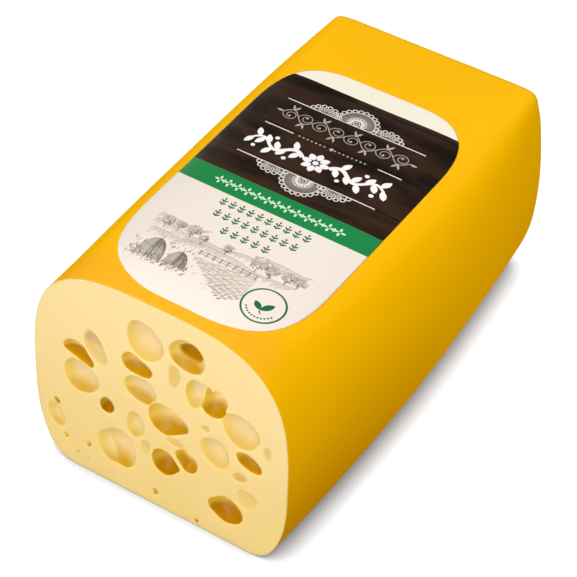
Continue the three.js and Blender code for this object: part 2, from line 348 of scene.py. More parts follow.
def loaf_field(x, depth, z):
    """Roughly the distance outside the loaf's outline: the superellipse's own number, less 1, over
    its slope in the section's plane."""
    sizes = section_sizes(depth)
    above = z >= sizes["waist"]
    span = np.where(above, sizes["crown"] - sizes["waist"], sizes["waist"] + BASE_PRESS)
    rise = np.abs(z - sizes["waist"]) / span
    lost = narrowing(np.minimum(rise, HIGHEST_RISE), above, sizes["lean"])
    corner = np.where(above, sizes["corner"], FOOT_CORNER)
    share = np.abs(x) / (sizes["half_width"] * (1 - lost))
    number = (share**corner + rise**corner) ** (1 / corner) - 1
    slope_x = np.gradient(number, FACE_STEP, axis=0)
    slope_z = np.gradient(number, FACE_STEP, axis=2)
    return number / np.maximum(np.hypot(slope_x, slope_z), 1 / LOAF_LENGTH)


def eye_field(eye, index, x, depth, z):
    """Roughly the distance outside one bubble: a ball through its mouth and its deepest point,
    stretched to the mouth's width and height, less what lies past its straight sides. Gentle
    lobes round it grow with the square of the way out from its axis, so its floor stays even."""
    mouth_x, mouth_z, wide, high, deep, turn, start = eye[:7]
    mouth = math.sqrt(wide * high)
    radius = (mouth**2 + deep**2) / (2 * deep)
    lean = math.radians(turn)
    right, up = x - mouth_x, z - mouth_z
    along = (right * math.cos(lean) + up * math.sin(lean)) * mouth / wide
    over = (up * math.cos(lean) - right * math.sin(lean)) * mouth / high
    direction = np.arctan2(over, along)
    lobes = np.cos(2 * direction + 2.4 * index) + np.cos(3 * direction + 1.7 * index)
    lobes = lobes * np.minimum((along**2 + over**2) / mouth**2, 1)
    distance = np.sqrt(along**2 + over**2 + (depth - start - deep + radius) ** 2)
    bubble = (distance - radius - LUMPINESS * mouth * lobes) * min(wide, high) / mouth
    for middle, facing, reach in STRAIGHT_SIDES:
        if middle == (mouth_x, mouth_z):
            way = math.radians(facing)
            side = right * math.cos(way) + up * math.sin(way) - reach
            bubble = soft_max(bubble, side, SIDE_ROUNDING)
    return bubble


# %% The paste's whole field
# The paste keeps this far inside the loaf's outline: at the cut, behind it under the film, and
# at the far end. The inset deepens between these depths.
CUT_INSET, FILM_INSET, FAR_INSET = 0.06, 0.35, 0.9
INSET_FROM, INSET_REACH, FAR_INSET_POWER = 0.3, 2, 4
RIM_ROUNDING, EDGE_ROUNDING, FAR_ROUNDING = 0.3, 0.35, 4.0
WAVE_HEIGHT = 0.05
BLOCK_SPREAD, BLOCK_MARGIN = 1.6, 2

grid_x, grid_depth, grid_z = np.meshgrid(*ticks, indexing="ij", sparse=True)
wave = WAVE_HEIGHT * (np.sin(grid_x / 9 + grid_z / 14) + np.sin(grid_z / 7 - grid_x / 17))
inset = mix(CUT_INSET, FILM_INSET, np.clip((grid_depth - INSET_FROM) / INSET_REACH, 0, 1))
inset = mix(inset, FAR_INSET, np.clip(grid_depth / PASTE_BACK, 0, 1) ** FAR_INSET_POWER)
outline = loaf_field(grid_x, grid_depth, grid_z) + inset
outline = soft_max(np.maximum(outline, inset - grid_z), grid_depth - PASTE_BACK, FAR_ROUNDING)
field = soft_max(outline, wave - grid_depth, EDGE_ROUNDING)


def carve(field, index, eye):
    """Takes one eye out of the paste, in the block of the grid that its bubble can reach."""
    mouth_x, mouth_z, wide, high, deep, _, start = eye[:7]
    reach = max(wide, high, deep) * BLOCK_SPREAD + BLOCK_MARGIN
    low = (mouth_x - reach, ticks[1][0], mouth_z - reach)
    high = (mouth_x + reach, start + deep + BLOCK_MARGIN + 1, mouth_z + reach)
    block = tuple(
        slice(np.searchsorted(axis, a), np.searchsorted(axis, b))
        for axis, a, b in zip(ticks, low, high)
    )
    x, depth, z = np.meshgrid(*(axis[part] for axis, part in zip(ticks, block)), indexing="ij")
    field[block] = soft_max(field[block], -eye_field(eye, index, x, depth, z), RIM_ROUNDING)


for index, eye in enumerate(EYES):
    carve(field, index, eye)
print("paste fills", round(float((field < 0).mean()) * 100), "% of the grid's points")

# %% [markdown]
# ## From the field to a mesh
#
# A surface net finds the surface in such a field. Each cell of the grid that the surface passes
# through gets one point, at the mean of the places where its edges are crossed. Each grid edge
# that crosses the surface gets one four-sided face, between the points of the four cells round
# it. The result is closed, with even faces that shade smoothly, and it takes no loop over points.


# %% Surface net
def part_of(axis, part, others=None):
    """An index that takes a part along one axis and everything along the rest, or given parts."""
    index = [slice(None)] * 3
    index[axis] = part
    for other, other_part in (others or {}).items():
        index[other] = other_part
    return tuple(index)


def surface_net(values, ticks):
    """The points and four-sided faces of the surface where the values change sign."""
    cells = np.array(values.shape) - 1
    total, count = np.zeros((3, *cells)), np.zeros(cells)
    crossings = []
    for axis in range(3):
        low = values[part_of(axis, slice(None, -1))]
        high = values[part_of(axis, slice(1, None))]
        crossed = (low < 0) != (high < 0)
        share = np.where(crossed, low / np.where(crossed, low - high, 1), 0)
        crossings.append((crossed, low < 0))
        one, two = (other for other in range(3) if other != axis)
        for a in (0, 1):
            for b in (0, 1):
                spans = {one: slice(a, a + cells[one]), two: slice(b, b + cells[two])}
                seen = crossed[part_of(axis, slice(None), spans)]
                count += seen
                total[axis] += seen * share[part_of(axis, slice(None), spans)]
                total[one] += seen * a
                total[two] += seen * b
    used = count > 0
    number = np.full(cells, -1)
    number[used] = np.arange(used.sum())
    inside_cell = total[:, used] / count[used]
    points = np.stack([
        np.interp(cell + inner, np.arange(len(axis)), axis)
        for cell, inner, axis in zip(np.nonzero(used), inside_cell, ticks)
    ], axis=1)
    faces = [net_faces(number, axis, *crossing) for axis, crossing in enumerate(crossings)]
    return points, np.concatenate(faces)


def net_faces(number, axis, crossed, low_inside):
    """One face round each crossed grid edge along an axis, wound so that it looks outwards."""
    one, two = (other for other in range(3) if other != axis)
    inner = part_of(axis, slice(None), {one: slice(1, -1), two: slice(1, -1)})
    crossed, low_inside = crossed[inner], low_inside[inner]
    loop = []
    for a, b in ((0, 0), (1, 0), (1, 1), (0, 1)):
        spans = {
            one: slice(a, a + crossed.shape[one]),
            two: slice(b, b + crossed.shape[two]),
        }
        loop.append(number[part_of(axis, slice(None), spans)][crossed])
    faces = np.stack(loop, axis=1)
    turned = low_inside[crossed] == (axis == 1)
    faces[turned] = faces[turned][:, ::-1]
    return faces


paste_points, paste_faces = surface_net(field, ticks)
print("surface net:", len(paste_points), "points,", len(paste_faces), "faces")

# %% [markdown]
# ## A plain back and each eye's painted shade
#
# The net spends as many faces on the flat back, which the film covers, as on the cut. So the back's
# faces give way to a fan round one point: an edge of the faces that stay is on the rim of the hole
# if no neighbour runs along it the other way. Each eye's painted shade is then noted on the points
# of its wall, in an attribute that the finish reads.


# %% Close the back and note the painted shade
WALL_REACH = 1.0


def fan_back(points, faces):
    """The same surface with its flat back as a fan: the faces there go, and each edge that is
    left without a neighbour gets a triangle to the middle of the back."""
    flat = (points[:, 1] > PASTE_BACK - 0.001)[faces].all(axis=1)
    kept = faces[~flat]
    tail, head = kept.ravel(), np.roll(kept, -1, axis=1).ravel()
    open_edge = ~np.isin(tail * len(points) + head, head * len(points) + tail)
    rim = np.stack([head[open_edge], tail[open_edge]], axis=1)
    middle = points[rim.ravel()].mean(axis=0)
    used, number = np.unique(kept, return_inverse=True)
    rim = np.searchsorted(used, rim)
    fan = np.concatenate([rim, np.full((len(rim), 1), len(used))], axis=1)
    return np.concatenate([points[used], [middle]]), number.reshape(kept.shape), fan


def eye_shades(points):
    """Each point's painted shade: that of the eye whose wall is nearest, if it is within reach."""
    nearest, eye_shade = np.full(len(points), WALL_REACH), np.zeros(len(points))
    for index, eye in enumerate(EYES):
        away = np.abs(eye_field(eye, index, *points.T))
        closer = away < nearest
        nearest[closer], eye_shade[closer] = away[closer], eye[7]
    return eye_shade


paste_points, paste_faces, back_fan = fan_back(paste_points, paste_faces)
cheese = make_piece("cheese_paste", paste_points, [paste_faces, back_fan], "cheese")
eye_shade_layer = cheese.data.attributes.new("eye_shade", "FLOAT", "POINT")
eye_shade_layer.data.foreach_set("value", eye_shades(paste_points).astype(np.float32))

# %% [markdown]
# ## Shader maths as Python
#
# A finish is easier to read as arithmetic than as a tree of nodes. A Value wraps one node socket
# and gives it the signs + - and *, each of which adds a Math node. A Finish holds one material and
# makes every other node through one method: the node's type, its settings, then its sockets.


# %% Values and finishes
class Value:
    """A number that varies over a surface, usable in a Python expression."""

    def __init__(self, finish, socket):
        self.finish, self.socket = finish, socket

    def math(self, operation, *others):
        """One Math node on this value and the others."""
        return self.finish.math(operation, self, *others)

    def __add__(self, other):
        return self.math("ADD", other)

    def __sub__(self, other):
        return self.math("SUBTRACT", other)

    def __rsub__(self, other):
        return self.finish.math("SUBTRACT", other, self)

    def __mul__(self, other):
        return self.math("MULTIPLY", other)

    __radd__ = __add__
    __rmul__ = __mul__

    def ramp(self, low, high):
        """0 below low, 1 above high and a smooth rise between; turned round if low > high."""
        settings = {"interpolation_type": "SMOOTHSTEP"}
        sockets = {"Value": self, "From Min": low, "From Max": high}
        return self.finish.node("ShaderNodeMapRange", settings, sockets)["Result"]


class Finish:
    """One material: a Principled shader and the nodes that feed it."""

    def __init__(self, name, **constants):
        self.material = bpy.data.materials.new(name)
        self.material.use_nodes = True
        self.tree = self.material.node_tree
        self.shader = self.tree.nodes["Principled BSDF"]
        for socket, value in constants.items():
            self.shader.inputs[socket.replace("_", " ")].default_value = value

    def feed(self, socket, value):
        """Sets a socket, or links it where the value comes from a node."""
        if isinstance(value, Value):
            self.tree.links.new(value.socket, socket)
        else:
            socket.default_value = value

    def node(self, kind, settings=None, sockets=None):
        """Adds a node and returns its outputs by name. Settings come first, because some of
        them decide which sockets the node has. A socket is named, or numbered where all share
        one name."""
        node = self.tree.nodes.new(kind)
        for name, value in (settings or {}).items():
            setattr(node, name, value)
        live = {socket.name: socket for socket in node.inputs if socket.enabled}
        for name, value in (sockets or {}).items():
            self.feed(node.inputs[name] if isinstance(name, int) else live[name], value)
        return {out.name: Value(self, out) for out in node.outputs if out.enabled}

    def math(self, operation, *values):
        """One Math node."""
        settings = {"operation": operation}
        return self.node("ShaderNodeMath", settings, dict(enumerate(values)))["Value"]

    def blend(self, share, first, second):
        """A colour between two, by a share from 0 to 1."""
        sockets = {"Factor": share, "A": first, "B": second}
        return self.node("ShaderNodeMix", {"data_type": "RGBA"}, sockets)["Result"]

    def noise(self, vector, scale, detail=2.0, roughness=0.5):
        """Smooth cloudy noise from 0 to 1 at a number of waves per metre."""
        sockets = {"Vector": vector, "Scale": scale, "Detail": detail, "Roughness": roughness}
        return self.node("ShaderNodeTexNoise", None, sockets)["Fac"]

    def split(self, vector):
        """A vector's x, y and z."""
        parts = self.node("ShaderNodeSeparateXYZ", None, {"Vector": vector})
        return parts["X"], parts["Y"], parts["Z"]

    def places(self):
        """The point's x, y and z in the frame, in metres, and the same as a vector."""
        vector = self.node("ShaderNodeTexCoord")["Object"]
        return *self.split(vector), vector

    def facing(self):
        """The direction in which the surface looks, as x, y and z."""
        return self.split(self.node("ShaderNodeNewGeometry")["Normal"])

    def bump(self, height, distance_mm, strength):
        """Low relief by shading, with its height in mm."""
        sockets = {"Strength": strength, "Distance": distance_mm / 1000, "Height": height}
        self.set("Normal", self.node("ShaderNodeBump", None, sockets)["Normal"])

    def set(self, name, value):
        """Feeds one socket of the shader."""
        self.feed(self.shader.inputs[name], value)

    def dress(self, piece):
        """Puts the finish on a piece."""
        piece.data.materials.append(self.material)


def colour(red, green, blue):
    """A colour given as it looks on a screen, 0 to 255, as the linear one that shaders use."""
    share = np.array([red, green, blue]) / 255
    linear = np.where(share <= 0.04045, share / 12.92, ((share + 0.055) / 1.055) ** 2.4)
    return (*linear.tolist(), 1.0)


print("cream paste in linear light:", [round(part, 3) for part in colour(246, 221, 155)[:3]])

# %% [markdown]
# ## The paste's finish
# Cheese lets light in: it enters, scatters and comes out a few millimetres away, so shadows in
# the eyes glow gold instead of turning grey. Subsurface scattering gives that, with red
# travelling furthest. The knife leaves the cut satin and even, and its colour is painted darker
# towards the table, as painted shade. The walls of the eyes are smooth and moist, and their colour
# holds painted light and shade: a bowl is painted paler towards its middle, as painted sheen, the
# back of a cave paler, as painted light, and the deepest caves a deep gold, as painted shade. The
# point's own distance behind the cut tells wall from face. Which way the wall looks tells where it
# is painted darker and more yellow, at the foot and on the left side of an eye, as painted shade
# with the glow of light through thick paste painted in.

# %% Paste finish
paste = Finish(
    "cheese_paste",
    Subsurface_Weight=0.7,
    Subsurface_Radius=(1.0, 0.75, 0.28),
    Subsurface_Scale=0.004,
    Specular_IOR_Level=0.14,
    IOR=1.42,
)
_, y, z, place = paste.places()
depth = y * 1000 + LOAF_LENGTH / 2
facing_x, _, facing_z = paste.facing()
# Each eye's painted shade, as noted on the paste's points.
eye_shade = paste.node("ShaderNodeAttribute", {"attribute_name": "eye_shade"})["Fac"]
in_eye = depth.ramp(0.05, 0.4)
# Painted shade: walls that look up, at the foot of an eye, and walls that look right, on its left
# side, are painted darker and more yellow, with the glow of light through thick paste painted in.
foot = facing_z.ramp(0.1, 0.75)
shaded_left_wall = facing_x.ramp(0.2, 0.85)
foot_shade_share = eye_shade.ramp(0.05, 0.4)
greyish = eye_shade.ramp(-0.05, -0.8)
mottle = paste.noise(place, 90, 3)
# Painted shade: the cut face is painted darker towards the table.
height = z.ramp(0.0, 0.1)

shaded_low_face = paste.blend(mottle, colour(204, 176, 108), colour(207, 180, 113))
lit_high_face = paste.blend(mottle, colour(214, 189, 135), colour(217, 192, 139))
face_colour = paste.blend(height, shaded_low_face, lit_high_face)
# Painted sheen and light: a bowl is painted paler towards its middle, the back of a cave paler
# still, and the deepest caves a deep gold, as painted shade.
sheened_bowl_wall = paste.blend(depth.ramp(0.8, 2.8), colour(203, 173, 100), colour(215, 187, 134))
lit_cave_wall = paste.blend(eye_shade.ramp(0.8, 1.0), colour(250, 225, 150), colour(222, 186, 90))
back_wall = paste.blend(eye_shade.ramp(0.35, 0.75), sheened_bowl_wall, lit_cave_wall)
# The painted shade of the left walls and the feet, deeper in deep eyes.
shaded_side_wall = paste.blend(eye_shade, colour(212, 182, 94), colour(214, 181, 48))
shaded_deep_foot = paste.blend(eye_shade, colour(184, 146, 12), colour(168, 115, 0))
shaded_foot_wall = paste.blend(foot_shade_share, colour(203, 174, 98), shaded_deep_foot)
wall_colour = paste.blend(shaded_left_wall, back_wall, shaded_side_wall)
wall_colour = paste.blend(foot, wall_colour, shaded_foot_wall)
wall_colour = paste.blend(greyish, wall_colour, colour(194, 163, 112))
paste.set("Base Color", paste.blend(in_eye, face_colour, wall_colour))
paste.set("Roughness", 0.5 - 0.22 * in_eye + 0.06 * mottle)
paste.bump(paste.noise(place, 420, 3) * (1 - in_eye), 0.05, 0.5)
paste.dress(cheese)

# %% [markdown]
# ## The film
#
# The film is a tenth of a millimetre thick and clings to the loaf, so it is one sheet: the
# section's outline carried along the length, closed over the far end, with a thin wall grown
# inwards. At the cut it ends in a crisp edge, a hair behind the paste, because the knife drew it
# back. A slow swell of a few hundredths of a millimetre breaks up its reflections, and near the far
# end, where the film was folded in, a shallow crease runs back from each upper corner.

# %% Film surface
FILM_THICKNESS = 0.08
FILM_RECESS = 0.35
FILM_COLUMNS = 288
EDGE_DEPTHS = FILM_RECESS + np.array([0.0, 0.05, 0.15])
BODY_FROM, BODY_RINGS = FILM_RECESS + 0.5, 139
END_ROUNDING, TURN_RINGS, END_RINGS = 2.2, 8, 16
SWELL_HEIGHT, SWELL_FROM = 0.03, 12
CREASE_ANGLE, CREASE_WIDTH = 0.86, 0.05
CREASE_START, CREASE_REACH, CREASE_DEPTH = 150.0, 30, 0.35
TANGENT_STEP = 0.002


def outline_normal(angle, depth):
    """The outline's outward direction in its own plane: its tangent, turned a right angle."""
    before = np.stack(section_point(angle - TANGENT_STEP, depth), axis=-1)
    after = np.stack(section_point(angle + TANGENT_STEP, depth), axis=-1)
    along = unit(after - before)
    return along[..., 1], -along[..., 0]


def film_relief(angle, depth):
    """Height of the film's relief in mm: a slow swell of three crossing waves that fades towards
    the cut, and two creases, bell-shaped across and deepening towards the far end."""
    waves = (
        np.sin(3 * angle + depth / 21)
        + np.sin(7 * angle - depth / 13 + 1)
        + np.sin(2 * angle + depth / 37 + 2)
    )
    swell = SWELL_HEIGHT * waves * np.clip(depth / SWELL_FROM, 0, 1)
    upper_corner = np.abs(np.abs(angle - np.pi / 2) - CREASE_ANGLE) / CREASE_WIDTH
    deepening = np.clip((depth - CREASE_START) / CREASE_REACH, 0, 1) ** 2
    return swell - CREASE_DEPTH * np.exp(-(upper_corner**2)) * deepening


def film_sheet():
    """Points of the film by row: rings along the length, close together at the cut so that the
    edge shades crisply, the last of them turning in round a quarter circle, then rings that
    shrink over the far end to its middle."""
    angle = np.linspace(0, 2 * np.pi, FILM_COLUMNS, endpoint=False)[None, :]
    body = np.linspace(BODY_FROM, LOAF_LENGTH - END_ROUNDING, BODY_RINGS)
    body = np.concatenate([EDGE_DEPTHS, body])
    turn = np.linspace(0, np.pi / 2, TURN_RINGS + 1)[1:]
    depth = np.concatenate([body, LOAF_LENGTH - END_ROUNDING * (1 - np.sin(turn))])[:, None]
    inset = np.concatenate([0 * body, END_ROUNDING * (1 - np.cos(turn))])[:, None]
    angle, depth = np.broadcast_arrays(angle, depth)
    x, z = section_point(angle, depth)
    out_x, out_z = outline_normal(angle, depth)
    lift = film_relief(angle, depth) - inset
    x, z = x + out_x * lift, np.maximum(z + out_z * lift, 0)
    shrink = np.linspace(1, 0, END_RINGS + 1)[1:-1, None]
    middle = z[-1].mean()
    cap_x, cap_z = x[-1] * shrink, middle + (z[-1] - middle) * shrink
    cap_depth = np.broadcast_to(depth[-1], cap_x.shape)
    rows = [np.concatenate(pair) for pair in ((x, cap_x), (depth, cap_depth), (z, cap_z))]
    return np.stack(rows, axis=-1), (0.0, LOAF_LENGTH, middle)


rows, pole = film_sheet()
pole_number = rows.shape[0] * FILM_COLUMNS
last_ring = pole_number - FILM_COLUMNS + np.arange(FILM_COLUMNS)
end_fan = np.stack([last_ring, np.roll(last_ring, -1), np.full(FILM_COLUMNS, pole_number)], axis=1)
film_points = np.concatenate([rows.reshape(-1, 3), [pole]])
film_quads = grid_faces(*rows.shape[:2], closed=True)
film = make_piece("film", film_points, [film_quads[:, ::-1], end_fan[:, ::-1]], "wrap")
thicken(film, FILM_THICKNESS, -1)

# %% Film finish
film_finish = Finish("golden_film", Specular_IOR_Level=0.0, IOR=1.5)
_, y, z, place = film_finish.places()
cloud = film_finish.noise(place, 35, 3)
# Painted shade: the film's sides are painted darker towards the table and towards the cut, and
# lighter towards the back and up the side.
lighter_rear = y.ramp(-0.09, 0.07)
shaded_foot_film = film_finish.blend(lighter_rear, colour(181, 124, 1), colour(224, 161, 0))
lit_high_film = film_finish.blend(lighter_rear, colour(238, 176, 1), colour(246, 182, 0))
side_film = film_finish.blend(z.ramp(0.0, 0.085), shaded_foot_film, lit_high_film)
# The crown has a slight blue in its colour, as painted sheen, with a mild cloud, and a darker, more
# orange strip next to the cut.
sheened_crown_film = film_finish.blend(cloud, colour(248, 184, 17), colour(251, 188, 20))
sheened_crown_film = film_finish.blend(y.ramp(-0.068, -0.088), sheened_crown_film, colour(238, 167, 34))
# Painted light: film that looks up takes the crown's lighter colour and painted sheen, and the
# sides keep their painted shade.
level = film_finish.facing()[2].ramp(0.55, 0.95)
film_finish.set("Base Color", film_finish.blend(level, side_film, sheened_crown_film))
film_finish.set("Roughness", 0.38 + 0.08 * film_finish.noise(place, 120, 2))
film_finish.bump(film_finish.noise(place, 160, 3), 0.06, 0.25)
film_finish.dress(film)

# %% [markdown]
# ## Places on the crown
#
# The label and everything printed on it follow the crown. Two numbers say where a point of it
# lies: the way along the curved surface from the crown's highest line, and the depth behind the
# cut. The arc length has no formula for such a section, so it is added up once on a fine table,
# and any place is then read from the table by interpolation.

# %% A table of the crown by arc length
TABLE_STEP = 0.5
TABLE_HALF = 62.0
OUTLINE_POINTS = 1441


def crown_table():
    """x and height on an even grid of depth and way across. Each row walks its outline from
    left to right, adds up the steps' lengths from the crown line, and reads them evenly."""
    depths = np.arange(0, LOAF_LENGTH + TABLE_STEP, TABLE_STEP)
    across = np.arange(-TABLE_HALF, TABLE_HALF + TABLE_STEP, TABLE_STEP)
    angle = np.linspace(np.pi, 0, OUTLINE_POINTS)
    x, z = section_point(angle[None, :], depths[:, None])
    steps = np.hypot(np.diff(x, axis=1), np.diff(z, axis=1))
    way = np.concatenate([np.zeros((len(depths), 1)), np.cumsum(steps, axis=1)], axis=1)
    way -= way[:, OUTLINE_POINTS // 2][:, None]
    table_x = np.stack([np.interp(across, w, row) for w, row in zip(way, x)])
    table_z = np.stack([np.interp(across, w, row) for w, row in zip(way, z)])
    return np.stack([table_x, np.broadcast_to(depths[:, None], table_x.shape), table_z], axis=-1)


CROWN = crown_table()
slope_down, slope_across = np.gradient(CROWN, axis=(0, 1))
CROWN_NORMAL = unit(np.cross(slope_across, slope_down))


def read_table(table, across, depth):
    """The table's value between its four nearest entries, weighted by nearness."""
    column = (across + TABLE_HALF) / TABLE_STEP
    row = depth / TABLE_STEP
    c = np.clip(np.floor(column).astype(int), 0, table.shape[1] - 2)
    r = np.clip(np.floor(row).astype(int), 0, table.shape[0] - 2)
    share_c, share_r = (column - c)[..., None], (row - r)[..., None]
    near = mix(table[r, c], table[r, c + 1], share_c)
    far = mix(table[r + 1, c], table[r + 1, c + 1], share_c)
    return mix(near, far, share_r)


def on_crown(across, depth, lift):
    """Points on the crown at a way across and a depth, raised off the film by lift mm."""
    return read_table(CROWN, across, depth) + lift * read_table(CROWN_NORMAL, across, depth)


print("crown half way at 60 mm:", on_crown(np.array(60.0), np.array(90.0), 0).round(1))

# %% [markdown]
# ## Print coordinates
#
# The artwork was drawn flat, and the label was then drawn over a crown that falls away at its
# sides and narrows to the back. So a straight printed line bows: on the loaf its ends lie further
# back than its middle. Print coordinates are those of the flat artwork, and every mark below is
# drawn in them: how far right of the artwork's axis, and how far up it, both in mm.

# %% From print to crown and back
BOW_BACK = 7.1
BOW_CHANGE = 0.061
BOW_KNEE = 62.0
BOW_REACH = 40.0
BOW_MIDDLE = 0.5
BOW_POWER = 3
AXIS_SHIFT = 0.0525
AXIS_BACK = 128.0
AXIS_OFFSET = 1.0


def bend_at(across):
    """The bow's share at a way across: the cube of the distance from the middle over the reach."""
    return (np.abs(across - BOW_MIDDLE) / BOW_REACH) ** BOW_POWER


def print_to_crown(right, up):
    """Way across and depth of a printed point. The axis shifts evenly along the loaf, and a line
    bows with the cube of the way across, less strongly towards the back."""
    across = right + AXIS_OFFSET + AXIS_SHIFT * (AXIS_BACK - up)
    bow = BOW_BACK - BOW_CHANGE * np.maximum(up - BOW_KNEE, 0)
    return across, up + bow * bend_at(across)


def crown_to_print(across, depth):
    """The same the other way, solved for up on each side of the knee."""
    bend = bend_at(across)
    front = depth - BOW_BACK * bend
    back = (depth - (BOW_BACK + BOW_CHANGE * BOW_KNEE) * bend) / (1 - BOW_CHANGE * bend)
    up = np.where(front < BOW_KNEE, front, back)
    return across - AXIS_OFFSET - AXIS_SHIFT * (AXIS_BACK - up), up


there = print_to_crown(np.array([-30.0, 30.0]), np.array([50.0, 110.0]))
print("round trip:", np.stack(crown_to_print(*there)).round(6).tolist())

# %% [markdown]
# ## The label
#
# A sheet of cream paper with large round corners. Its sides run almost straight along the
# crown, and each corner draws in along a superellipse of its own, the front ones long and soft,
# the back ones tighter. It lies on the film, so it is a grid between its left and its right
# edge, lifted a little more than a tenth of a millimetre.

# %% Label sheet
LABEL_FRONT, LABEL_BACK = 4.9, 149.0
LEFT_EDGE, RIGHT_EDGE = (-38.0, -41.0), (41.2, 39.7)
# Each corner's reach across and along the label, and its superellipse's power.
LABEL_CORNERS = {
    "front_left": (36, 47, 2.15),
    "front_right": (32, 42, 2.6),
    "back_left": (28, 32, 2.7),
    "back_right": (28, 32, 2.9),
}
LABEL_LIFT = 0.14
LABEL_THICKNESS = 0.1
LABEL_ROWS, LABEL_COLUMNS = 221, 121
NARROWEST = 0.5
PRINT_WIDTH, PRINT_LENGTH = 120.0, 160.0


def corner_draw(corner, distance):
    """How far the edge has drawn in at a distance from the label's end, by a superellipse."""
    across, along, power = LABEL_CORNERS[corner]
    short = 1 - np.minimum(distance / along, 1)
    return across * (1 - (1 - short**power) ** (1 / power))


def label_edges(depth):
    """The way across of the label's left and right edge at a depth."""
    share = (depth - LABEL_FRONT) / (LABEL_BACK - LABEL_FRONT)
    from_front, from_back = depth - LABEL_FRONT, LABEL_BACK - depth
    left = mix(*LEFT_EDGE, share) + corner_draw("front_left", from_front)
    right = mix(*RIGHT_EDGE, share) - corner_draw("front_right", from_front)
    left = left + corner_draw("back_left", from_back)
    right = right - corner_draw("back_right", from_back)
    return left, np.maximum(right, left + NARROWEST)


def label_grid():
    """Way across and depth of the label's points. Rows crowd towards both ends, as a cosine
    does, because there the edge turns fastest."""
    share = (1 - np.cos(np.linspace(0, np.pi, LABEL_ROWS))) / 2
    depth = mix(LABEL_FRONT, LABEL_BACK, share)[:, None]
    left, right = label_edges(depth)
    across = mix(left, right, np.linspace(0, 1, LABEL_COLUMNS)[None, :])
    return across, np.broadcast_to(depth, across.shape)


across, depth = label_grid()
label_points = on_crown(across, depth, LABEL_LIFT).reshape(-1, 3)
label_faces = grid_faces(LABEL_ROWS, LABEL_COLUMNS)
label = make_piece("label_sheet", label_points, [label_faces], "label")


def lay_print(piece, across, depth):
    """Gives a piece a UV map that holds print coordinates, squeezed into the unit square."""
    right, up = crown_to_print(across, depth)
    uv = np.stack([right / PRINT_WIDTH + 0.5, up / PRINT_LENGTH], axis=-1).reshape(-1, 2)
    corner = np.empty(len(piece.data.loops), dtype=np.int32)
    piece.data.loops.foreach_get("vertex_index", corner)
    layer = piece.data.uv_layers.new(name="print")
    layer.uv.foreach_set("vector", uv[corner].astype(np.float32).ravel())


lay_print(label, across, depth)
thicken(label, LABEL_THICKNESS, 1)

# %% [markdown]
# ## The label's printed fields
#
# The artwork has four fields, one above the other: cream paper, a green band, a field of dark
# planks and a cream cap. They are flat colours, so the paper's own finish shows them by the
# height up the print. The planks get a fine grain that runs across the label, broad lighter
# streaks and two dark joints. The paper is satin, and the dark print a little glossier.

# %% Label finish
BAND_FOOT, BAND_TOP = 61.7, 72.5
PLANK_TOP = 139.0
PLANK_JOINTS = (85.6, 107.0, 136.6)

paper = Finish("printed_label", Specular_IOR_Level=0.1, IOR=1.48)
flat = paper.node("ShaderNodeUVMap", {"uv_map": "print"})["UV"]
u, v, _ = paper.split(flat)
right, up = (u - 0.5) * PRINT_WIDTH, v * PRINT_LENGTH


def grain(per_right, per_up, shift, scale, detail, roughness=0.5):
    """Noise stretched along the planks: few waves to the mm across the print, many up it."""
    sockets = {"X": right * per_right, "Y": up * per_up, "Z": shift}
    stretched = paper.node("ShaderNodeCombineXYZ", None, sockets)["Vector"]
    return paper.noise(stretched, scale, detail, roughness)


def plank_field():
    """Dark wood: fine fibres and broad streaks along the planks, and a dark line at each joint."""
    fibre = grain(0.05, 1.4, 0, 1.6, 5, 0.65)
    streak = grain(0.03, 0.11, 4, 1.3, 3)
    tone = streak.ramp(0.3, 0.7) * 0.7 + fibre.ramp(0.45, 0.8) * 0.35
    wood = paper.blend(tone, colour(25, 18, 14), colour(66, 45, 33))
    joint = 0
    for height in PLANK_JOINTS:
        joint = joint + (up - height).math("ABSOLUTE").ramp(0.42, 0.16)
    return paper.blend(joint * 0.9, wood, colour(8, 6, 5))


def band(low, high, soft=0.06):
    """1 between two heights of the print and 0 outside, with an edge of soft mm."""
    return up.ramp(low - soft, low + soft) * up.ramp(high + soft, high - soft)


cloud = paper.noise(flat, 30, 2)
cream = paper.blend(cloud, colour(233, 221, 208), colour(236, 224, 212))
cream = paper.blend(up.ramp(BAND_TOP, PLANK_TOP), cream, colour(244, 237, 218))
fields = paper.blend(band(BAND_TOP, PLANK_TOP), cream, plank_field())
fields = paper.blend(band(BAND_FOOT, BAND_TOP), fields, colour(30, 131, 68))
paper.set("Base Color", fields)
paper.set("Roughness", 0.5 - 0.1 * band(BAND_FOOT, PLANK_TOP))
paper.dress(label)

# %% [markdown]
# ## Ink as strokes
#
# The fine marks on the label are ink, a few hundredths of a millimetre high. Painting them in a
# finish would blur them in an exported picture, so they are thin geometry. Every mark is a
# stroke: a path with a width at each of its points. A rule has one width, a leaf swells and
# closes, and a dot is a short path whose width follows a circle. One function turns strokes into
# a strip of faces, and the print coordinates lay them on the crown.


